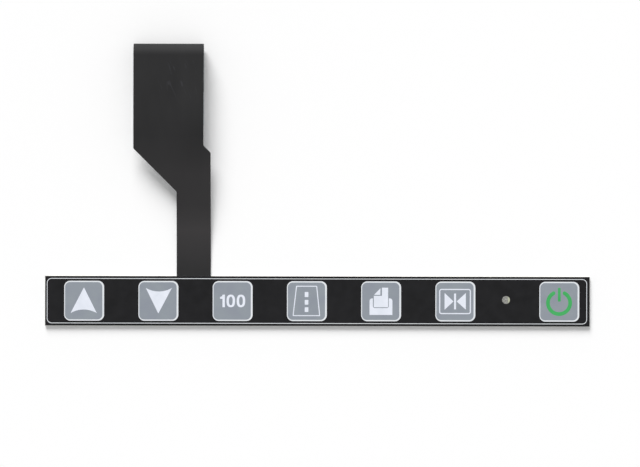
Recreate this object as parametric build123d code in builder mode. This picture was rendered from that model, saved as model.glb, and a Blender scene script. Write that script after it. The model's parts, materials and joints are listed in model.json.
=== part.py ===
from build123d import *
import os
from math import atan2, cos, degrees, hypot, pi, tan

# Membrane keypad: a flat bar of seven keys and one indicator window, with a film tail that
# leaves its long edge, widens in a slanted shoulder and folds back under itself.
#
# The bar is a laminate. From the back it is a peel-off liner, an adhesive sheet, the circuit film
# with its printed silver, a spacer with one pocket for each steel snap dome, a retainer sheet,
# a second adhesive sheet, and the overlay film with the colours printed on its face. The circuit
# film is one piece with the tail.
#
# Millimetres. The bar lies face up on z = 0 with its length along X. The origin is the middle of
# its rear face, and the tail leaves towards +Y.

# Face of the bar
bar_width = 18.0
first_key_margin = 14.2
key_pitch = 27.0
last_key_to_window = 18.4
window_to_power_key = 19.4
power_key_margin = 11.0
key_size = 14.5
key_corner = 2.2
outline_width = 0.48
face_shift = 0.16
border_inset = 0.9
border_width = 0.22
border_corner = 1.6
border_shift = 0.15
window_diameter = 3.0
window_rise = 0.6

# Sheets, from the back to the front
liner_thickness = 0.10
rear_adhesive_thickness = 0.13
film_thickness = 0.125
silver_thickness = 0.02
retainer_thickness = 0.05
front_adhesive_thickness = 0.08
overlay_thickness = 0.18
ink_thickness = 0.015

# Snap domes and their pockets
dome_diameter = 10.0
dome_height = 0.45
dome_sheet = 0.07
dome_crown = 3.0
dome_trim = 0.7
dome_sides = 12
crown_clearance = 0.02
pocket_clearance = 0.3
channel_width = 1.2

# Printed silver
pad_diameter = 3.0
ring_width = 0.9
ring_margin = 0.2
ring_gap = 1.6
bus_width = 0.6
bus_clearance = 0.6
track_width = 0.22
track_clearance = 0.25
track_margin = 0.82

# Indicator
led_length = 1.6
led_width = 0.8
led_base_height = 0.12
lens_length = 1.1
lens_height = 0.24
led_terminal = 0.3
led_pocket_diameter = 4.4
light_hole_clearance = 0.2

# Tail, seen from above
contact_pitch = 2.54
neck_width = 12.4
neck_offset = -0.7
neck_margin = 1.25
neck_track_gap = 0.6
wide_offset = -9.1
left_shoulder = 46.3
right_shoulder = 47.4
shoulder_corner = 0.8
wide_track_width = 1.5
track_lead = 1.4

# Tail, seen from the side
tail_cover_thickness = 0.075
tail_reach = 84.4
bend_radius = 4.0
level_run = 11.0
rise_run = 42.0
wave_share = 0.9
return_length = 25.4

# Contact end of the tail
finger_length = 8.0
finger_width = 1.7
carbon_thickness = 0.02
stiffener_length = 12.0
stiffener_thickness = 0.25

# Places along the bar
row_names = ["up", "down", "number", "road", "page", "frame"]
row_length = (len(row_names) - 1) * key_pitch
bar_length = first_key_margin + row_length + last_key_to_window + window_to_power_key + power_key_margin
key_x = {name: first_key_margin + i * key_pitch - bar_length / 2 for i, name in enumerate(row_names)}
window_x = key_x[row_names[-1]] + last_key_to_window
key_x["power"] = window_x + window_to_power_key
bar_edge = bar_width / 2
key_places = [(x, 0) for x in key_x.values()]
keys_middle = (key_x["up"] + key_x["power"]) / 2
keys_length = key_x["power"] - key_x["up"]

# Heights of the sheets' rear faces
rear_adhesive_z = liner_thickness
film_z = rear_adhesive_z + rear_adhesive_thickness
silver_z = film_z + film_thickness
spacer_z = silver_z + silver_thickness
spacer_thickness = dome_height + crown_clearance
retainer_z = spacer_z + spacer_thickness
front_adhesive_z = retainer_z + retainer_thickness
overlay_z = front_adhesive_z + front_adhesive_thickness
black_z = overlay_z + overlay_thickness
white_z = black_z + ink_thickness
grey_z = white_z + ink_thickness

# Sizes that follow from the ones above
dome_radius = dome_diameter / 2
pocket_radius = dome_radius + pocket_clearance
ring_radius = dome_radius + ring_margin
light_hole_radius = window_diameter / 2 + light_hole_clearance
dome_across_flats = dome_diameter - 2 * dome_trim
bus_y = -(ring_radius + bus_clearance + bus_width / 2)

# The tail's film lies on the inner face of its bend, and its tracks and cover on the outer face
tail_thickness = film_thickness + silver_thickness + tail_cover_thickness
inner_bend_radius = bend_radius - tail_thickness
low_z = tail_thickness
high_z = low_z + 2 * inner_bend_radius
bend_z = low_z + inner_bend_radius
bend_y = bar_edge + tail_reach - bend_radius
tail_end_y = bend_y - return_length
contact_count = len(key_x) + 3
wide_width = contact_count * contact_pitch
neck_centre = (key_x["down"] + key_x["number"]) / 2 + neck_offset
wide_centre = neck_centre + wide_offset
neck_left = neck_centre - neck_width / 2
neck_right = neck_centre + neck_width / 2
wide_left = wide_centre - wide_width / 2
wide_right = wide_centre + wide_width / 2
left_shoulder_y = bar_edge + left_shoulder
right_shoulder_y = bar_edge + right_shoulder
past_tail = 1.0
tail_height = high_z + tail_thickness + past_tail
tail_span = 2 * (wide_width / 2 + neck_width + abs(neck_centre - wide_centre))

# Each circuit keeps its lane from the bar to its contact: two keys to the left of the neck, the
# shared return, then the four keys to the right, the two ends of the indicator and the power key.
# In the bar each track first runs out to a level of its own, the nearest key on the lowest one.
neck_track_pitch = (neck_width - 2 * neck_margin) / (contact_count - 1)
neck_track_width = neck_track_pitch - neck_track_gap
neck_lanes = [neck_centre + (i - (contact_count - 1) / 2) * neck_track_pitch for i in range(contact_count)]
wide_lanes = [wide_centre + (i - (contact_count - 1) / 2) * contact_pitch for i in range(contact_count)]
led_pad_x = (led_length - led_terminal) / 2
left_starts = [(key_x["up"], 0), (key_x["down"], 0)]
right_starts = [
    (key_x["number"], 0),
    (key_x["road"], 0),
    (key_x["page"], 0),
    (key_x["frame"], 0),
    (window_x - led_pad_x, window_rise),
    (window_x + led_pad_x, window_rise),
    (key_x["power"], 0),
]
return_lane = len(left_starts)
first_level = ring_radius + track_clearance + track_width / 2
last_level = bar_edge - track_margin - track_width / 2
level_pitch = (last_level - first_level) / (len(right_starts) - 1)


def save(builder, name):
    """Label a finished piece and write it under its own name."""
    builder.part.label = name
    export_step(builder.part, f"parts/{name}.step")


def bar_sheet():
    """Rectangle of the whole bar."""
    Rectangle(bar_length, bar_width)


def tail_outline():
    """Plan of the tail: a neck, two slanted shoulders and the wide part past the bend."""
    far_y = bar_edge + tail_reach + past_tail
    with BuildSketch() as plan:
        with BuildLine():
            FilletPolyline(
                (neck_left, bar_edge),
                (neck_left, left_shoulder_y - (neck_left - wide_left)),
                (wide_left, left_shoulder_y),
                (wide_left, far_y),
                (wide_right, far_y),
                (wide_right, right_shoulder_y),
                (neck_right, right_shoulder_y - (neck_right - wide_right)),
                (neck_right, bar_edge),
                radius=[0, shoulder_corner, shoulder_corner, 0, 0, shoulder_corner, shoulder_corner, 0],
                close=True,
            )
        make_face()
    return plan.sketch


def side_line(height, end_y):
    """Side view of one face of the tail's layers, at a height above the film's inner face.

    It leaves the bar level, rises in a gentle wave, turns down round the bend and comes back.
    """
    rise = high_z - film_z
    slope = atan2(rise, rise_run)
    tangent = wave_share * min(level_run, hypot(rise, rise_run) / 2)
    FilletPolyline(
        (bar_edge, film_z + height),
        (bar_edge + level_run, film_z + height),
        (bar_edge + level_run + rise_run, high_z + height),
        (bend_y, high_z + height),
        radius=tangent / tan(slope / 2),
    )
    ThreePointArc(
        (bend_y, high_z + height),
        (bend_y + inner_bend_radius + height, bend_z),
        (bend_y, low_z - height),
    )
    Line((bend_y, low_z - height), (end_y, low_z - height))


def tail_side(inner, outer, end_y):
    """Section of one layer of the tail, between two heights above the film's inner face."""
    with BuildSketch(Plane.YZ.offset(wide_centre - tail_span / 2)) as section:
        with BuildLine():
            side_line(inner, end_y)
            side_line(outer, end_y)
            Line((bar_edge, film_z + inner), (bar_edge, film_z + outer))
            Line((end_y, low_z - inner), (end_y, low_z - outer))
        make_face()
    return section.sketch


def tail_tracks():
    """Plan of the tracks on the tail: close together in the neck, spread to the contacts' pitch."""
    left_turn = left_shoulder_y - (neck_left - wide_left) + track_lead / 2
    right_turn = right_shoulder_y - (neck_right - wide_right) - track_lead / 2
    wide_end = bar_edge + tail_reach + past_tail
    with BuildSketch() as plan:
        for i, (near, far) in enumerate(zip(neck_lanes, wide_lanes)):
            turn_y = left_turn + (right_turn - left_turn) * i / (contact_count - 1)
            spread_y = turn_y + abs(near - far)
            with BuildLine():
                Polyline((near, bar_edge), (near, turn_y), (far, spread_y), (far, spread_y + track_lead))
            trace(line_width=neck_track_width)
            with Locations((far, (spread_y + wide_end) / 2)):
                Rectangle(wide_track_width, wide_end - spread_y)
    return plan.sketch


def octagon(half_width, mode=Mode.ADD):
    """Octagon that stands on a side, half as wide as its distance across the sides."""
    RegularPolygon(half_width, 8, major_radius=False, rotation=180 / 8, mode=mode)


def bar_tracks():
    """Plan of the silver in the bar: dome rings, centre pads, the shared return and the tracks."""
    ring_middle = ring_radius - ring_width / 2
    stub = -bus_y - ring_middle
    with BuildSketch(Plane.XY.offset(silver_z)) as plan:
        with Locations(*key_places):
            octagon(ring_radius)
            octagon(ring_radius - ring_width, Mode.SUBTRACT)
        with Locations(*[(x, ring_middle) for x, y in key_places]):
            Rectangle(ring_gap, 3 * ring_width, mode=Mode.SUBTRACT)
        with Locations(*key_places):
            octagon(pad_diameter / 2)
        with Locations(*[(x, bus_y + stub / 2) for x, y in key_places]):
            Rectangle(bus_width, stub)
        with Locations((keys_middle, bus_y)):
            Rectangle(keys_length + bus_width, bus_width)
        with Locations((neck_lanes[return_lane], (bus_y + bar_edge) / 2)):
            Rectangle(neck_track_width, bar_edge - bus_y)
        with Locations((window_x - led_pad_x, window_rise), (window_x + led_pad_x, window_rise)):
            Rectangle(led_terminal, led_width)
        left_tracks = zip(left_starts, neck_lanes, reversed(range(len(left_starts))))
        right_tracks = zip(right_starts, neck_lanes[return_lane + 1 :], range(len(right_starts)))
        for (x, y), lane_x, level in [*left_tracks, *right_tracks]:
            level_y = first_level + level * level_pitch
            with BuildLine():
                Polyline((x, y), (x, level_y), (lane_x, level_y), (lane_x, bar_edge))
            trace(line_width=track_width)
    return plan.sketch


def key_squares(size, corner, shift=0.0):
    """One rounded square on each key."""
    with Locations(*[(x - shift, y) for x, y in key_places]):
        RectangleRounded(size, size, corner)


def dome_ring(x):
    """Many-sided outline of the snap dome on the key at x."""
    with Locations((x, 0)):
        RegularPolygon(dome_radius, dome_sides, rotation=180 / dome_sides)


def border_ring(inset, corner, mode):
    """Rounded outline of the bar, drawn in from its edge, and printed a little to the left."""
    with Locations((-border_shift, 0)):
        RectangleRounded(bar_length - 2 * inset, bar_width - 2 * inset, corner, mode=mode)


os.makedirs("parts", exist_ok=True)

# Peel-off paper over the rear adhesive
with BuildPart() as release_liner:
    with BuildSketch():
        bar_sheet()
    extrude(amount=liner_thickness)
save(release_liner, "release_liner")

# Adhesive sheet that fixes the keypad to a panel
with BuildPart() as rear_adhesive:
    with BuildSketch(Plane.XY.offset(rear_adhesive_z)):
        bar_sheet()
    extrude(amount=rear_adhesive_thickness)
save(rear_adhesive, "rear_adhesive")

# Circuit film: the bar's sheet and the tail in one piece
with BuildPart() as circuit_film:
    extrude(tail_side(0, film_thickness, tail_end_y), amount=tail_span)
    extrude(tail_outline(), amount=tail_height, mode=Mode.INTERSECT)
    with BuildSketch(Plane.XY.offset(film_z)):
        bar_sheet()
    extrude(amount=film_thickness)
save(circuit_film, "circuit_film")

# Silver printed on the film, from the keys to the end of the tail
with BuildPart() as silver_circuit:
    extrude(tail_side(film_thickness, film_thickness + silver_thickness, tail_end_y), amount=tail_span)
    extrude(tail_tracks(), amount=tail_height, mode=Mode.INTERSECT)
    extrude(bar_tracks(), amount=silver_thickness)
save(silver_circuit, "silver_circuit")

# Black film laminated over the tail's tracks, open at the contacts
with BuildPart() as tail_cover:
    cover_side = tail_side(film_thickness + silver_thickness, tail_thickness, tail_end_y + finger_length)
    extrude(cover_side, amount=tail_span)
    extrude(tail_outline(), amount=tail_height, mode=Mode.INTERSECT)
save(tail_cover, "tail_cover")

# Carbon printed over the silver at the contacts, which face down
with BuildPart() as contact_fingers:
    finger_z = low_z - film_thickness - silver_thickness
    with BuildSketch(Plane.XY.offset(finger_z)):
        with Locations(*[(x, tail_end_y + finger_length / 2) for x in wide_lanes]):
            Rectangle(finger_width, finger_length)
    extrude(amount=-carbon_thickness)
save(contact_fingers, "contact_fingers")

# Stiffener behind the contacts
with BuildPart() as tail_stiffener:
    with BuildSketch(Plane.XY.offset(low_z)):
        with Locations((wide_centre, tail_end_y + stiffener_length / 2)):
            Rectangle(wide_width, stiffener_length)
    extrude(amount=stiffener_thickness)
save(tail_stiffener, "tail_stiffener")

# Spacer: a round pocket for each dome, one for the indicator, and a channel that joins them
# so that the air a dome pushes out has somewhere to go
with BuildPart() as dome_spacer:
    with BuildSketch(Plane.XY.offset(spacer_z)):
        bar_sheet()
        with Locations(*key_places):
            Circle(pocket_radius, mode=Mode.SUBTRACT)
        with Locations((window_x, window_rise)):
            Circle(led_pocket_diameter / 2, mode=Mode.SUBTRACT)
        with Locations((keys_middle, 0)):
            Rectangle(keys_length, channel_width, mode=Mode.SUBTRACT)
    extrude(amount=spacer_thickness)
save(dome_spacer, "dome_spacer")

# Snap domes: a shallow cap of spring steel, cut to four legs that stand on the silver ring.
# Between the legs its edge is clear of the track that leaves the centre pad. The cap has flats
# enough to be round to the eye.
cap_rise = dome_height - dome_sheet
cap_run = (dome_radius - dome_crown / 2) * cos(pi / dome_sides)
cap_taper = degrees(atan2(cap_run, cap_rise))
for name, x in key_x.items():
    with BuildPart() as snap_dome:
        with BuildSketch(Plane.XY.offset(spacer_z)):
            dome_ring(x)
        extrude(amount=dome_sheet)
        with BuildSketch(Plane.XY.offset(spacer_z + dome_sheet)):
            dome_ring(x)
        extrude(amount=cap_rise, taper=cap_taper)
        with BuildSketch(Plane.XY.offset(spacer_z)):
            dome_ring(x)
        extrude(amount=cap_rise, taper=cap_taper, mode=Mode.SUBTRACT)
        with BuildSketch(Plane.XY.offset(spacer_z)):
            with Locations((x, 0)):
                Rectangle(dome_across_flats, dome_across_flats)
        extrude(amount=dome_height, mode=Mode.INTERSECT)
    save(snap_dome, f"snap_dome_{name}")

# Indicator: a chip carrier with a terminal at each end, and the clear block over the chip
with BuildPart() as indicator_base:
    with BuildSketch(Plane.XY.offset(spacer_z)):
        with Locations((window_x, window_rise)):
            Rectangle(led_length, led_width)
        with Locations((window_x - led_length / 2, window_rise), (window_x + led_length / 2, window_rise)):
            Circle(led_terminal / 2, mode=Mode.SUBTRACT)
    extrude(amount=led_base_height)
save(indicator_base, "indicator_base")

with BuildPart() as indicator_lens:
    with BuildSketch(Plane.XY.offset(spacer_z + led_base_height)):
        with Locations((window_x, window_rise)):
            Rectangle(lens_length, led_width)
    extrude(amount=lens_height)
save(indicator_lens, "indicator_lens")

# Retainer sheet over the domes
with BuildPart() as dome_retainer:
    with BuildSketch(Plane.XY.offset(retainer_z)):
        bar_sheet()
        with Locations((window_x, window_rise)):
            Circle(light_hole_radius, mode=Mode.SUBTRACT)
    extrude(amount=retainer_thickness)
save(dome_retainer, "dome_retainer")

# Front adhesive sheet, cut open over each dome so that the overlay flexes freely
with BuildPart() as front_adhesive:
    with BuildSketch(Plane.XY.offset(front_adhesive_z)):
        bar_sheet()
        with Locations(*key_places):
            Rectangle(2 * pocket_radius, 2 * pocket_radius, mode=Mode.SUBTRACT)
        with Locations((window_x, window_rise)):
            Circle(light_hole_radius, mode=Mode.SUBTRACT)
    extrude(amount=front_adhesive_thickness)
save(front_adhesive, "front_adhesive")

# Clear film that the fingers press
with BuildPart() as overlay_film:
    with BuildSketch(Plane.XY.offset(overlay_z)):
        bar_sheet()
    extrude(amount=overlay_thickness)
save(overlay_film, "overlay_film")

# Colours printed on the overlay, one over the other: the black field with its window, a white
# square for each key and the border line, then the grey key faces, which leave a white rim
with BuildPart() as black_print:
    with BuildSketch(Plane.XY.offset(black_z)):
        bar_sheet()
        with Locations((window_x, window_rise)):
            Circle(window_diameter / 2, mode=Mode.SUBTRACT)
    extrude(amount=ink_thickness)
save(black_print, "black_print")

with BuildPart() as window_print:
    with BuildSketch(Plane.XY.offset(black_z)):
        with Locations((window_x, window_rise)):
            Circle(window_diameter / 2)
    extrude(amount=ink_thickness)
save(window_print, "window_print")

with BuildPart() as white_print:
    with BuildSketch(Plane.XY.offset(white_z)):
        border_ring(border_inset - border_width / 2, border_corner + border_width / 2, Mode.ADD)
        border_ring(border_inset + border_width / 2, border_corner - border_width / 2, Mode.SUBTRACT)
        key_squares(key_size, key_corner)
    extrude(amount=ink_thickness)
save(white_print, "white_print")

with BuildPart() as grey_print:
    with BuildSketch(Plane.XY.offset(grey_z)):
        key_squares(key_size - 2 * outline_width, key_corner - outline_width, face_shift)
    extrude(amount=ink_thickness)
save(grey_print, "grey_print")
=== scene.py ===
import json
import math

import bpy
import numpy as np
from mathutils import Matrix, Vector


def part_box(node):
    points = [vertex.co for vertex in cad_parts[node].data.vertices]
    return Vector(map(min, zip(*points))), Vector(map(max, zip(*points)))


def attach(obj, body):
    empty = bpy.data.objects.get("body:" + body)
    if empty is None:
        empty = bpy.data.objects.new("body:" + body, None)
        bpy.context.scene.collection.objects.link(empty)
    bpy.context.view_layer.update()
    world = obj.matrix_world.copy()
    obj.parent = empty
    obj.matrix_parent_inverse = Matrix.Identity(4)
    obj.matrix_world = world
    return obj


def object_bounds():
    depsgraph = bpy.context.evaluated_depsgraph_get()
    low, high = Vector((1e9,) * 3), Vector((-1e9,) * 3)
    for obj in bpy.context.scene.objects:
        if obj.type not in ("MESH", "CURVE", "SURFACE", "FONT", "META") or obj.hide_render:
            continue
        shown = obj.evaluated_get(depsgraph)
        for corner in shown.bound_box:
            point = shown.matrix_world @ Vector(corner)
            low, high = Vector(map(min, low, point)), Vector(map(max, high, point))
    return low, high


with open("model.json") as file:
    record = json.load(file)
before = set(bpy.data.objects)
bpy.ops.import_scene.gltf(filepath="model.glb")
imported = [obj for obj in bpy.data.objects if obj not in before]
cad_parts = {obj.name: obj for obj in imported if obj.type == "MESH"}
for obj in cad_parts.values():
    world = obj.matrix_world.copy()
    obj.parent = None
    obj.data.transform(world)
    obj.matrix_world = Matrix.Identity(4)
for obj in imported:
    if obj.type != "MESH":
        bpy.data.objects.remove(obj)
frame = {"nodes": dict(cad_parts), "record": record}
cad_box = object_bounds()

# Membrane keypad: the finish of every sheet of the laminate and of the film tail, and the signs
# printed on the keys.
#
# Metres and degrees, except that the signs are drawn in millimetres from the middle of their key.
MM = 0.001

# Photograph: its frame in pixels, its scale, and the pixel at the middle of the bar
PHOTO_WIDTH = 640
PHOTO_HEIGHT = 467
PIXELS_PER_MM = 2.75
BAR_MIDDLE_PIXEL = (317.5, 301.2)
CAMERA_DISTANCE = 1.5
CAMERA_ROLL = 0.127
SENSOR_WIDTH = 36.0

# Studio: the lamp's share of the light on the floor, the ceiling's brightness against white walls,
# and the heights of the directions at which the walls end and the ceiling starts
LAMP_AZIMUTH = 14.0
LAMP_ELEVATION = 29.0
LAMP_SPREAD = 34.0
LAMP_LEVEL = 0.55
CEILING_LEVEL = 0.465
WALL_TOP = 0.08
CEILING_FOOT = 0.20
FLOOR_WHITE = "#FCFCFC"
FLOOR_SIZE = 40.0
FLOOR_GAP = 0.02 * MM

# Neck of the tail: painted sheen, a paler band painted into the film's colour for the light that its
# slope catches: how much of the paler colour it brings in, and the spans along y, in millimetres,
# over which that fades and to which share
PAINTED_SHEEN_SHARE = 0.85
PAINTED_SHEEN_STEPS = [(26, 9, 0.0), (26, 35, 0.55), (46, 60, 0.1)]

# Scuffs on the wide part of the tail: their middle, how far round it they are full and where they
# end, how strong they are, the streak's level from which one shows, and how far they lean from the
# tail's length, in radians
SCUFF_PLACE = (-50.5 * MM, 80 * MM, 8 * MM)
SCUFF_FULL = 3 * MM
SCUFF_END = 10 * MM
SCUFF_SHARE = 0.45
SCUFF_LEVEL = 0.75
SCUFF_SLANT = -0.3

# Indicator window, in shares of its width: where the lens starts to show and shows fully, measured
# from the left, and where the tint starts to lap over the black and laps fully, from the middle
LENS_EDGE = (0.62, 0.88)
LAP_EDGE = (0.45, 0.49)

# Films: the grain of the texture as it is drawn, in millimetres, and polyester's index
FILM_GRAIN = 0.3
POLYESTER_IOR = 1.6

# Values between which most of a noise lies
NOISE_LOW = 0.3
NOISE_HIGH = 0.7

# Mix node's sockets, by number because its kinds share their names
MIX_SHARE, MIX_FROM, MIX_TO, MIX_RESULT = 0, 6, 7, 2

# Signs: their coat of ink, how deep its foot sits in the key's grey, the smallest radius of an
# inner corner, and the widths of the number's digits and of the gap between them
SIGN_THICKNESS = 0.012 * MM
SIGN_BITE = 0.002 * MM
LEAST_CORNER = 0.06
ONE_WIDTH = 1.75
NOUGHT_WIDTH = 3.1
DIGIT_GAP = 0.6


def place_camera():
    """Camera straight above the bar, at which its face has the photograph's pixels per millimetre."""
    view_width = PHOTO_WIDTH / PIXELS_PER_MM * MM
    data = bpy.data.cameras.new("camera")
    data.sensor_width = SENSOR_WIDTH
    data.lens = SENSOR_WIDTH * CAMERA_DISTANCE / view_width
    camera = bpy.data.objects.new("camera", data)
    camera.location = (
        (PHOTO_WIDTH / 2 - BAR_MIDDLE_PIXEL[0]) / PIXELS_PER_MM * MM,
        (BAR_MIDDLE_PIXEL[1] - PHOTO_HEIGHT / 2) / PIXELS_PER_MM * MM,
        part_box("grey_print")[1].z + CAMERA_DISTANCE,
    )
    camera.rotation_euler = (0, 0, math.radians(CAMERA_ROLL))
    bpy.context.scene.collection.objects.link(camera)
    bpy.context.scene.camera = camera


# Curves and plates of ink


def line(start, end, count=2):
    """Points evenly along the straight line from start to end."""
    share = np.linspace(0, 1, count)[:, None]
    return (1 - share) * np.array(start) + share * np.array(end)


def arc(centre, radius, first, last, count=13):
    """Points on a circle: its centre plus the radius along angles evenly from first to last."""
    angle = np.radians(np.linspace(first, last, count))
    return np.array(centre) + radius * np.stack([np.cos(angle), np.sin(angle)], -1)


def arc_through(start, sag, end, count=17):
    """Circle's arc from start to end, whose middle lies sag above the chord's own middle.

    Half the chord c and the sag s give the radius (c c + s s) / (2 s).
    """
    start, end = np.array(start), np.array(end)
    half = np.linalg.norm(end - start) / 2
    radius = (half**2 + sag**2) / (2 * abs(sag))
    swing = math.degrees(math.asin(half / radius))
    side = math.copysign(1, sag)
    centre = (start + end) / 2 + np.array([0, sag - side * radius])
    return arc(centre, radius, side * (90 + swing), side * (90 - swing), count)


def oval(half_width, half_height, power, count=48):
    """Superellipse, where |x / half_width| and |y / half_height|, each to the power, add up to one."""
    angle = np.linspace(0, 2 * np.pi, count, endpoint=False)
    wave = np.stack([np.cos(angle), np.sin(angle)], -1)
    return np.sign(wave) * np.abs(wave) ** (2 / power) * (half_width, half_height)


def box_corners(left, right, low, high):
    """Corners of an upright rectangle, anticlockwise from the lower left."""
    return [(left, low), (right, low), (right, high), (left, high)]


def outline(corners, radius, inset=0.0, steps=6):
    """Closed outline of a convex polygon, drawn in by inset, with round corners.

    Where two sides meet whose outward normals are m and n, the arc's centre is the corner less
    (inset + radius) (m + n) / (1 + m.n), and the arc turns evenly from m to n.
    """
    corners = np.array(corners, float)
    side = np.roll(corners, -1, 0) - corners
    side /= np.linalg.norm(side, axis=1, keepdims=True)
    after = np.stack([side[:, 1], -side[:, 0]], -1)
    before = np.roll(after, 1, 0)
    reach = (before + after) / (1 + (before * after).sum(1, keepdims=True))
    centre = corners - (inset + radius) * reach
    first = np.arctan2(before[:, 1], before[:, 0])
    turn = (np.arctan2(after[:, 1], after[:, 0]) - first) % (2 * np.pi)
    angle = first[:, None] + turn[:, None] * np.linspace(0, 1, steps)
    arcs = centre[:, None] + radius * np.stack([np.cos(angle), np.sin(angle)], -1)
    return arcs.reshape(-1, 2)


def plate(one, other, closed=False):
    """Closed sheet of ink over the plan surface ruled between two curves of as many points.

    The ruled grid is laid twice, for the face and the foot. Each of its cells is a quad on both,
    and each open edge of the grid is a strip of wall. Where the grid runs clockwise, all quads are
    turned over, so that they face outwards. Returns the plan's points and the quads, which index
    the face's points first and the foot's after them.
    """
    plan = np.stack([one, other], 1)
    count = plan.shape[0] * 2
    index = np.arange(count).reshape(-1, 2)
    if closed:
        index = np.vstack([index, index[:1]])
    face = np.stack([index[:-1, 0], index[1:, 0], index[1:, 1], index[:-1, 1]], -1)
    starts = np.concatenate([index[1:, 0], index[:-1, 1]])
    ends = np.concatenate([index[:-1, 0], index[1:, 1]])
    edge = np.stack([starts, ends], -1)
    if not closed:
        edge = np.vstack([edge, index[0], index[-1, ::-1]])
    wall = np.column_stack([edge, edge[:, ::-1] + count])
    quads = np.vstack([face, face[:, ::-1] + count, wall])
    points = plan.reshape(-1, 2)
    x, y = points[face].transpose(2, 0, 1)
    area = (x * np.roll(y, -1, 1) - y * np.roll(x, -1, 1)).sum()
    return points, quads if area > 0 else quads[:, ::-1]


def fan(apex, base, clip=0.02):
    """Plate from a base curve towards an apex, less the last share, clip, as ink rounds a point."""
    return plate(np.array(apex) + clip * (base - np.array(apex)), base)


def block(corners, radius=0.12):
    """Plate that fills a four-cornered outline, ruled from its lower half to its upper half."""
    low, high = np.split(outline(corners, radius), 2)
    return plate(low, high[::-1])


def frame_line(corners, width, radius):
    """Plate between an outline and the same outline drawn in by the line's width."""
    inner_radius = max(radius - width, LEAST_CORNER)
    return plate(outline(corners, radius), outline(corners, inner_radius, width), closed=True)


def round_stroke(centre, radius, width, first, last, count=61, end_count=7, end_angle=80):
    """Plate along a circle's arc, of one width, with round ends.

    Past each end, at an angle t of the end's half circle, the stroke has gone on by h sin t and
    its half width h has shrunk to h cos t. The ends stop at end_angle, short of a point.
    """
    half = width / 2
    run = math.radians(last - first) * radius
    middle = np.linspace(0, run, count)[1:-1]
    end = np.radians(np.linspace(end_angle, 0, end_count))
    along = np.concatenate([-half * np.sin(end), middle, run + half * np.sin(end[::-1])])
    spread = half * np.concatenate([np.cos(end), np.ones(len(middle)), np.cos(end[::-1])])
    angle = math.radians(first) + along / radius
    ray = np.stack([np.cos(angle), np.sin(angle)], -1)
    return plate(
        np.array(centre) + (radius + spread)[:, None] * ray,
        np.array(centre) + (radius - spread)[:, None] * ray,
    )


# The signs, one function each


def arrow(tip, left, right, sag):
    """Broad arrow head: two straight sides and a base curved in towards the tip."""
    return [fan(tip, arc_through(left, sag, right))]


def number_one(left, low, high):
    """Upright stroke with a flag on its left, whose top curls down from the stroke's."""
    stem, flag_low, flag_high = 0.88, 3.05, 3.7
    stem_left = left + ONE_WIDTH - stem
    stem_right = left + ONE_WIDTH
    curl_x, curl_y = left - 0.1, high + 0.15
    front = [
        line((left, low + flag_low), (stem_left, low + flag_low), 8),
        line((stem_left, low + flag_low), (stem_left, low))[1:],
    ]
    back = [
        arc((curl_x, curl_y), curl_y - low - flag_high, -87, -10, 7),
        line((stem_right, high), (stem_right, low)),
    ]
    return plate(np.vstack(front), np.vstack(back))


def number_nought(left, low, high):
    """Tall oval ring, heavier at its sides."""
    side, cap, outer_power, inner_power = 0.88, 0.72, 2.5, 2.3
    half_width, half_height = NOUGHT_WIDTH / 2, (high - low) / 2
    middle = np.array([left + half_width, (low + high) / 2])
    outer = oval(half_width, half_height, outer_power)
    inner = oval(half_width - side, half_height - cap, inner_power)
    return plate(middle + outer, middle + inner, closed=True)


def number_hundred(low, high):
    """The plain number 100, centred on its key."""
    left = -(ONE_WIDTH + 2 * (DIGIT_GAP + NOUGHT_WIDTH)) / 2
    first_nought = left + ONE_WIDTH + DIGIT_GAP
    return [
        number_one(left, low, high),
        number_nought(first_nought, low, high),
        number_nought(first_nought + NOUGHT_WIDTH + DIGIT_GAP, low, high),
    ]


def road():
    """Road that narrows upwards, with three dashes down its middle."""
    verge = [(-5.2, -5.43), (4.86, -5.43), (3.7, 5.6), (-3.93, 5.6)]
    verge_width, verge_corner = 0.34, 0.3
    dashes = [(1.5, 3.34), (-1.28, 0.45), (-3.93, -2.22)]
    middle, half_dash = -0.12, 0.67
    return [frame_line(verge, verge_width, verge_corner)] + [
        block(box_corners(middle - half_dash, middle + half_dash, low, high)) for low, high in dashes
    ]


def page_in_tray():
    """Page with its corner folded over, standing in an open tray."""
    page_left, page_right, page_low, page_high = -2.67, 2.54, -2.15, 4.96
    notch_right, notch_low = 0.28, 2.0
    page = plate(
        np.array([(page_left, notch_low), (notch_right, notch_low), (notch_right, page_high)]),
        np.array([(page_left, page_low), (page_right, page_low), (page_right, page_high)]),
    )
    fold_left, fold_right, fold_low, fold_high, fold_clip = -2.61, -0.27, 2.34, 4.74, 0.06
    fold_edge = line((fold_right, fold_low), (fold_right, fold_high))
    fold = fan((fold_left, fold_low), fold_edge, fold_clip)
    left, right, low, high, ear = -4.22, 4.1, -4.95, 1.06, 0.9
    slot_left, slot_right, slot_low, slot_corner = -3.0, 2.79, -2.45, 0.7
    outside = [
        arc((left + ear, high - ear), ear, 90, 180, 7),
        line((left, low), (right, low), 18),
        arc((right - ear, high - ear), ear, 0, 90, 7),
    ]
    inside = [
        line((slot_left, high), (slot_left, high - ear), 7),
        arc((slot_left + slot_corner, slot_low + slot_corner), slot_corner, 180, 270, 9),
        arc((slot_right - slot_corner, slot_low + slot_corner), slot_corner, 270, 360, 9),
        line((slot_right, high - ear), (slot_right, high), 7),
    ]
    return [page, fold, plate(np.vstack(outside), np.vstack(inside))]


def meeting_triangles():
    """Rounded frame with two triangles that point at an upright bar."""
    frame_width, frame_corner = 0.4, 0.85
    return [
        frame_line(box_corners(-5.9, 5.63, -4.6, 4.57), frame_width, frame_corner),
        fan((-0.7, 0.02), line((-3.94, 3.1), (-3.94, -3.02))),
        fan((0.46, 0.02), line((3.8, -2.97), (3.8, 3.1))),
        block(box_corners(-0.48, 0.24, -2.88, 2.9)),
    ]


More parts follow.
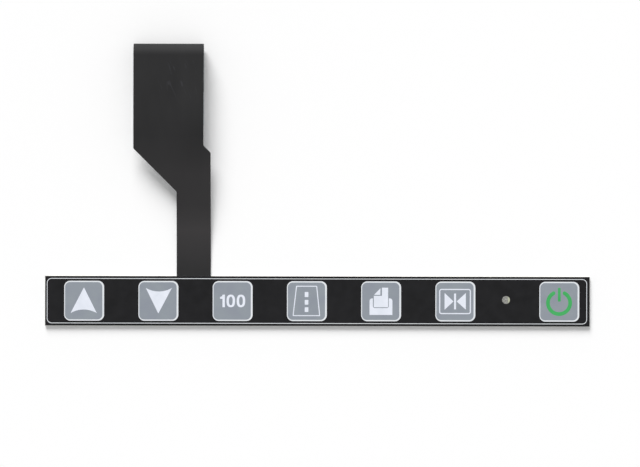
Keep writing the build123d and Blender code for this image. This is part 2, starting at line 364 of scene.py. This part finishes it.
def power():
    """Ring open at its top, with an upright bar in the gap."""
    ring_middle, ring_radius, ring_width, half_gap = (-0.11, -0.44), 4.04, 1.34, 29.5
    bar_corner = 0.3
    return [
        round_stroke(ring_middle, ring_radius, ring_width, 90 + half_gap, 450 - half_gap),
        block(box_corners(-0.53, 0.47, 0.05, 5.04), bar_corner),
    ]


def print_sign(key, plates, material):
    """Lay a sign's plates on the grey face of its key, and let it ride with the keypad."""
    low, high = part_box("snap_dome_" + key)
    face_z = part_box("grey_print")[1].z
    middle = (np.array(low) + np.array(high))[:2] / 2
    vertices, faces = [], []
    for points, quads in plates:
        faces.append(quads + sum(map(len, vertices)))
        for z in (face_z - SIGN_BITE + SIGN_THICKNESS, face_z - SIGN_BITE):
            vertices.append(np.column_stack([middle + points * MM, np.full(len(points), z)]))
    mesh = bpy.data.meshes.new("sign_" + key)
    mesh.from_pydata(np.vstack(vertices), [], np.vstack(faces))
    mesh.materials.append(material)
    sign = bpy.data.objects.new("sign_" + key, mesh)
    bpy.context.scene.collection.objects.link(sign)
    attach(sign, "root")


# Materials


def colour(code):
    """Linear colour of an sRGB hex code."""
    levels = np.array([int(code[i : i + 2], 16) for i in (1, 3, 5)]) / 255
    linear = np.where(levels <= 0.04045, levels / 12.92, ((levels + 0.055) / 1.055) ** 2.4)
    return (*linear.tolist(), 1.0)


def per_mm(size):
    """Texture scale at which one cell of a pattern is size millimetres."""
    return 1 / (size * MM)


def add(tree, kind, inputs=(), **settings):
    """Add a node with its settings. Each input takes a value, or another node's output."""
    node = tree.nodes.new(kind)
    for name, value in settings.items():
        setattr(node, name, value)
    for name, value in dict(inputs).items():
        if isinstance(value, bpy.types.NodeSocket):
            tree.links.new(value, node.inputs[name])
        else:
            node.inputs[name].default_value = value
    return node


def surface(name, sockets):
    """Start a material, whose shader has these fixed sockets.

    Returns it with its tree, its shader and the object's own coordinates.
    """
    material = bpy.data.materials.new(name)
    material.use_nodes = True
    tree = material.node_tree
    tree.nodes.clear()
    shader = add(tree, "ShaderNodeBsdfPrincipled", sockets)
    add(tree, "ShaderNodeOutputMaterial", {"Surface": shader.outputs[0]})
    place = add(tree, "ShaderNodeTexCoord").outputs["Object"]
    return material, tree, shader, place


def patches(tree, place, size, detail=2.0, stretch=(1, 1, 1)):
    """Soft patches, from 0 to 1 and about size millimetres wide.

    They are longer along an axis whose stretch is under one.
    """
    seen = add(tree, "ShaderNodeMapping", {"Vector": place, "Scale": stretch}).outputs[0]
    noise = add(tree, "ShaderNodeTexNoise", {"Vector": seen, "Scale": per_mm(size), "Detail": detail})
    spread = {"Value": noise.outputs[0], "From Min": NOISE_LOW, "From Max": NOISE_HIGH}
    return add(tree, "ShaderNodeMapRange", spread).outputs[0]


def dress(tree, shader, share, colours, roughness, relief, depth):
    """Let a pattern run the colour between two, and the roughness between two values.

    Each colour is a hex code or a node's output. A second pattern is the relief, which is depth
    millimetres high.
    """
    dark, light = [tone if isinstance(tone, bpy.types.NodeSocket) else colour(tone) for tone in colours]
    blend = {MIX_SHARE: share, MIX_FROM: dark, MIX_TO: light}
    mix = add(tree, "ShaderNodeMix", blend, data_type="RGBA")
    tree.links.new(mix.outputs[MIX_RESULT], shader.inputs["Base Color"])
    smooth, rough = roughness
    sheen = add(tree, "ShaderNodeMapRange", {"Value": share, "To Min": smooth, "To Max": rough})
    tree.links.new(sheen.outputs[0], shader.inputs["Roughness"])
    bump = add(tree, "ShaderNodeBump", {"Height": relief, "Distance": depth * MM})
    tree.links.new(bump.outputs[0], shader.inputs["Normal"])


def screen_ink(name, dark, light, cloud_size):
    """Screen-printed vinyl ink on polyester film with a fine matte texture.

    The film's grain stays in the ink and takes its gloss. The mesh lays the coat down a little
    unevenly, which shows as faint clouds in colour and sheen. The grain is 0.05 mm on the real
    film, and is drawn at FILM_GRAIN so that it shows.
    """
    material, tree, shader, place = surface(name, {"Specular IOR Level": 0.22})
    grain = patches(tree, place, FILM_GRAIN)
    clouds = patches(tree, place, cloud_size)
    dress(tree, shader, clouds, (dark, light), roughness=(0.8, 0.88), relief=grain, depth=0.004)
    return material


def window_ink(name):
    """Translucent vinyl tint over the indicator, screen-printed.

    It is cloudy, yellower to the right, where the lens lies under it, and darker at its rim, where
    it laps over the black ink. The film's grain is drawn as in the other inks.
    """
    material, tree, shader, place = surface(name, {"Specular IOR Level": 0.25})
    low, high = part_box("window_print")
    width = high.x - low.x
    cloud = patches(tree, place, 0.6)
    clouds = {MIX_SHARE: cloud, MIX_FROM: colour("#6E6E6A"), MIX_TO: colour("#A8A8A3")}
    grey = add(tree, "ShaderNodeMix", clouds, data_type="RGBA").outputs[MIX_RESULT]
    across = add(tree, "ShaderNodeSeparateXYZ", {"Vector": place}).outputs["X"]
    lens_start, lens_full = [low.x + share * width for share in LENS_EDGE]
    edge = {"Value": across, "From Min": lens_start, "From Max": lens_full}
    lens = add(tree, "ShaderNodeMapRange", edge, interpolation_type="SMOOTHSTEP").outputs[0]
    tints = {MIX_SHARE: lens, MIX_FROM: grey, MIX_TO: colour("#B9BCA4")}
    tint = add(tree, "ShaderNodeMix", tints, data_type="RGBA").outputs[MIX_RESULT]
    from_middle = {0: place, 1: (low + high) / 2}
    reach = add(tree, "ShaderNodeVectorMath", from_middle, operation="DISTANCE").outputs["Value"]
    lap_start, lap_full = [share * width for share in LAP_EDGE]
    lap = {"Value": reach, "From Min": lap_start, "From Max": lap_full}
    rim = add(tree, "ShaderNodeMapRange", lap, interpolation_type="SMOOTHSTEP").outputs[0]
    grain = patches(tree, place, FILM_GRAIN)
    dress(tree, shader, rim, (tint, "#2A2A26"), roughness=(0.4, 0.7), relief=grain, depth=0.004)
    return material


def tail_film(name):
    """Black polyester cover film, rolled on, with a fine matte texture.

    It has slow clouds along the tail from the rolling, and faint slanted scuffs where the wide part
    is pinched to plug it in. The neck has a painted sheen: a paler band painted into its colour for
    the light that the slope catches, most at 17 mm from the bar.
    """
    material, tree, shader, place = surface(name, {"Specular IOR Level": 0.25})

    cloud = patches(tree, place, 9.0, detail=3.0, stretch=(1, 0.4, 1))
    clouds = {MIX_SHARE: cloud, MIX_FROM: colour("#212122"), MIX_TO: colour("#272728")}
    rolled = add(tree, "ShaderNodeMix", clouds, data_type="RGBA").outputs[MIX_RESULT]

    turned = {"Vector": place, "Rotation": (0, 0, SCUFF_SLANT)}
    slant = add(tree, "ShaderNodeMapping", turned).outputs[0]
    streaks = patches(tree, slant, 1.0, stretch=(1, 0.16, 1))
    from_pinch = {0: place, 1: SCUFF_PLACE}
    pinch = add(tree, "ShaderNodeVectorMath", from_pinch, operation="DISTANCE").outputs["Value"]
    near = {"Value": pinch, "From Min": SCUFF_END, "From Max": SCUFF_FULL, "To Max": SCUFF_SHARE}
    share = add(tree, "ShaderNodeMapRange", near).outputs[0]
    peaks = {"Value": streaks, "From Min": SCUFF_LEVEL, "To Max": share}
    scuffs = add(tree, "ShaderNodeMapRange", peaks).outputs[0]
    scuffed = {MIX_SHARE: scuffs, MIX_FROM: rolled, MIX_TO: colour("#3B3B40")}
    film = add(tree, "ShaderNodeMix", scuffed, data_type="RGBA").outputs[MIX_RESULT]

    # Painted sheen: the neck is painted paler, towards #3E3C3D, for the light that its slope catches
    along = add(tree, "ShaderNodeSeparateXYZ", {"Vector": place}).outputs["Y"]
    painted_sheen = PAINTED_SHEEN_SHARE
    for full, faded, left_over in PAINTED_SHEEN_STEPS:
        span = {"Value": along, "From Min": full * MM, "From Max": faded * MM}
        fade = add(tree, "ShaderNodeMapRange", {**span, "To Min": 1.0, "To Max": left_over}).outputs[0]
        painted_sheen = add(tree, "ShaderNodeMath", {0: fade, 1: painted_sheen}, operation="MULTIPLY").outputs[0]

    ripple = patches(tree, place, 6.0, detail=1.0, stretch=(1, 0.25, 1))
    # The painted sheen's share runs the colour towards the paler #3E3C3D and the roughness up
    dress(tree, shader, painted_sheen, (film, "#3E3C3D"), roughness=(0.74, 0.8), relief=ripple, depth=0.01)
    return material


def clear_film(name, dark, light, alpha, smooth, rough):
    """Cast polyester film: clear and glossy, with a faint haze that varies over a few millimetres."""
    material, tree, shader, place = surface(name, {"Alpha": alpha, "IOR": POLYESTER_IOR})
    haze = patches(tree, place, 4.0)
    dress(tree, shader, haze, (dark, light), roughness=(smooth, rough), relief=haze, depth=0.001)
    return material


def flake_ink(name, dark, light, flake_size, rough):
    """Silver flakes in a screen-printed binder: a dull satin metal with a fine sparkle.

    The flakes are 0.01 mm wide in the real ink, and are drawn wider so that they show.
    """
    material, tree, shader, place = surface(name, {"Metallic": 1.0})
    flakes = patches(tree, place, flake_size)
    sheen = (rough, rough + 0.15)
    dress(tree, shader, flakes, (dark, light), roughness=sheen, relief=flakes, depth=0.004)
    return material


def rolled_steel(name):
    """Rolled stainless spring steel: bright, with fine lines along the strip.

    They spread its highlights. They are 0.02 mm apart on the real strip, and are drawn at 0.15 mm
    so that they show.
    """
    material, tree, shader, place = surface(name, {"Metallic": 1.0})
    lines = patches(tree, place, 0.15, stretch=(0.05, 1, 1))
    steel = ("#B9B5AD", "#D2CFC8")
    dress(tree, shader, lines, steel, roughness=(0.22, 0.34), relief=lines, depth=0.002)
    return material


def coated_paper(name):
    """Siliconed kraft paper: cream, smooth to the touch, with cloudy fibres and a low sheen."""
    material, tree, shader, place = surface(name, {"Specular IOR Level": 0.4})
    fibres = patches(tree, place, 1.2, detail=6.0, stretch=(1, 0.5, 1))
    cream = ("#DED6BE", "#EBE5D2")
    dress(tree, shader, fibres, cream, roughness=(0.45, 0.55), relief=fibres, depth=0.01)
    return material


def adhesive_sheet(name):
    """Acrylic adhesive coated on a carrier: milky, with a soft gloss and small trapped bubbles."""
    material, tree, shader, place = surface(name, {"Alpha": 0.7})
    bubbles = add(tree, "ShaderNodeTexVoronoi", {"Vector": place, "Scale": per_mm(0.8)}).outputs[0]
    milk = ("#C6C6BE", "#D3D3CB")
    dress(tree, shader, bubbles, milk, roughness=(0.25, 0.35), relief=bubbles, depth=0.01)
    return material


def moulded_resin(name, dark, light, alpha, rough):
    """Moulded epoxy of the indicator: smooth, with slight clouds in its colour."""
    material, tree, shader, place = surface(name, {"Alpha": alpha})
    clouds = patches(tree, place, 0.4)
    sheen = (rough, rough + 0.05)
    dress(tree, shader, clouds, (dark, light), roughness=sheen, relief=clouds, depth=0.001)
    return material


# Studio: a white floor, one large soft lamp from the far left, and a pale room


def hang_lamp():
    """Sun lamp, round and LAMP_SPREAD wide, whose light on the floor is LAMP_LEVEL times white.

    Its azimuth is turned from +Y towards -X.
    """
    turn, tilt = math.radians(LAMP_AZIMUTH), math.radians(LAMP_ELEVATION)
    flat = math.cos(tilt)
    towards = Vector((-math.sin(turn) * flat, math.cos(turn) * flat, math.sin(tilt)))
    data = bpy.data.lights.new("soft_lamp", "SUN")
    data.energy = LAMP_LEVEL * math.pi / towards.z
    data.angle = math.radians(LAMP_SPREAD)
    lamp = bpy.data.objects.new("soft_lamp", data)
    lamp.rotation_euler = towards.to_track_quat("Z", "Y").to_euler()
    bpy.context.scene.collection.objects.link(lamp)


def lay_floor():
    """White floor a hair under the keypad."""
    reach = FLOOR_SIZE / 2
    level = cad_box[0].z - FLOOR_GAP
    corners = np.column_stack([box_corners(-reach, reach, -reach, reach), np.full(4, level)])
    mesh = bpy.data.meshes.new("floor")
    mesh.from_pydata(corners, [], [(0, 1, 2, 3)])
    shader = {"Base Color": colour(FLOOR_WHITE), "Roughness": 1.0, "Specular IOR Level": 0.0}
    mesh.materials.append(surface("white_floor", shader)[0])
    floor = bpy.data.objects.new("floor", mesh)
    bpy.context.scene.collection.objects.link(floor)


def build_room():
    """Room with white walls near the horizon and a grey ceiling, blended by the direction's height."""
    world = bpy.data.worlds.new("room")
    world.use_nodes = True
    tree = world.node_tree
    tree.nodes.clear()
    direction = add(tree, "ShaderNodeTexCoord").outputs["Generated"]
    height = add(tree, "ShaderNodeSeparateXYZ", {"Vector": direction}).outputs["Z"]
    span = {"Value": height, "From Min": WALL_TOP, "From Max": CEILING_FOOT}
    rise = {**span, "To Min": 1.0, "To Max": CEILING_LEVEL}
    strength = add(tree, "ShaderNodeMapRange", rise, interpolation_type="SMOOTHSTEP").outputs[0]
    light = {"Color": colour("#FFFFFF"), "Strength": strength}
    background = add(tree, "ShaderNodeBackground", light)
    add(tree, "ShaderNodeOutputWorld", {"Surface": background.outputs[0]})
    bpy.context.scene.world = world


finishes = {
    "liner_paper": coated_paper("siliconed_paper"),
    "adhesive": adhesive_sheet("acrylic_adhesive"),
    "circuit_polyester": clear_film("circuit_film_polyester", "#D5DADC", "#E2E7E9", 0.4, 0.1, 0.18),
    "silver_ink": flake_ink("silver_ink", "#B9B9B7", "#CECECB", 0.2, 0.4),
    "tail_black": tail_film("black_cover_film"),
    "carbon_ink": screen_ink("carbon_ink", "#1A1A1C", "#222224", 1.5),
    "stiffener_polyester": clear_film("stiffener_polyester", "#D8DDE2", "#E4E9EC", 0.9, 0.25, 0.35),
    "spacer_polyester": clear_film("spacer_polyester", "#BCC3C7", "#C9CFD2", 0.85, 0.3, 0.4),
    "dome_steel": rolled_steel("spring_steel"),
    "indicator_board": moulded_resin("white_carrier_resin", "#D8D4C6", "#E4E0D3", 1.0, 0.4),
    "indicator_epoxy": moulded_resin("clear_epoxy", "#E2DDB8", "#EDE9CC", 0.7, 0.12),
    "retainer_polyester": clear_film("retainer_polyester", "#D5DADC", "#E2E7E9", 0.5, 0.12, 0.2),
    "overlay_polyester": clear_film("overlay_polyester", "#D5DADC", "#E2E7E9", 0.5, 0.12, 0.2),
    "black_ink": screen_ink("black_ink", "#151517", "#1E1E20", 3.5),
    "window_ink": window_ink("window_tint"),
    "white_ink": screen_ink("white_ink", "#DDE1E6", "#E6E9EC", 5.0),
    "grey_ink": screen_ink("grey_ink", "#8D939D", "#9299A0", 4.0),
    "sign_white_ink": screen_ink("sign_white_ink", "#DFE4EE", "#E8ECF6", 3.0),
    "sign_green_ink": screen_ink("sign_green_ink", "#3EA85A", "#4AAE65", 3.0),
}

signs = {
    "up": arrow(tip=(-0.08, 4.87), left=(-4.93, -4.51), right=(4.6, -4.51), sag=1.3),
    "down": arrow(tip=(-0.02, -4.62), left=(-4.6, 4.7), right=(4.9, 4.7), sag=-1.3),
    "number": number_hundred(low=-2.25, high=2.32),
    "road": road(),
    "page": page_in_tray(),
    "frame": meeting_triangles(),
    "power": power(),
}

place_camera()

for subpart in frame["record"]["subparts"]:
    mesh = frame["nodes"][subpart["node"]].data
    mesh.materials.clear()
    mesh.materials.append(finishes[subpart["material_slot"]])

for key, plates in signs.items():
    ink = "sign_green_ink" if key == "power" else "sign_white_ink"
    print_sign(key, plates, finishes[ink])

hang_lamp()
lay_floor()
build_room()
bpy.context.scene.view_settings.view_transform = "Standard"
